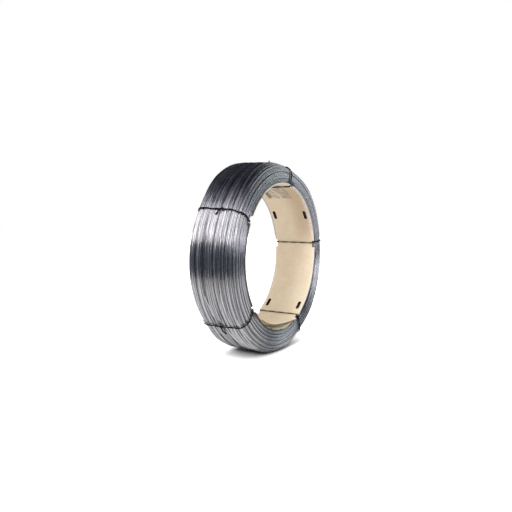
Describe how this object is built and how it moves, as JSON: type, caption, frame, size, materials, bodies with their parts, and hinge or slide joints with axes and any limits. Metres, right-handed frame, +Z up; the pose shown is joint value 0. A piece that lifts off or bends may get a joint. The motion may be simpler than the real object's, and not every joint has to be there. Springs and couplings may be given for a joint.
{
  "type": "coil of flux-cored welding wire on a cardboard liner",
  "caption": "Coil of bright flux-cored welding wire wound on a cardboard liner and held by dark tie wires, standing on its rim.",
  "frame": {"origin": "on the floor straight below the coil's axis, in the middle of its width", "axes": "+Y along the coil's axis, +Z up, +X to the right when looking along +Y"},
  "size_m": [0.4034, 0.1072, 0.4032],
  "materials": {
    "wire": "bright drawn",
    "liner_board": "matte",
    "tie_wire": "black annealed"
  },
  "bodies": {
    "root": {"wire_coil": "wire", "cardboard_liner": "liner_board", "tie_wire_1": "tie_wire", "tie_wire_2": "tie_wire", "tie_wire_3": "tie_wire", "tie_wire_4": "tie_wire", "tie_wire_5": "tie_wire"}
  },
  "joints": []
}
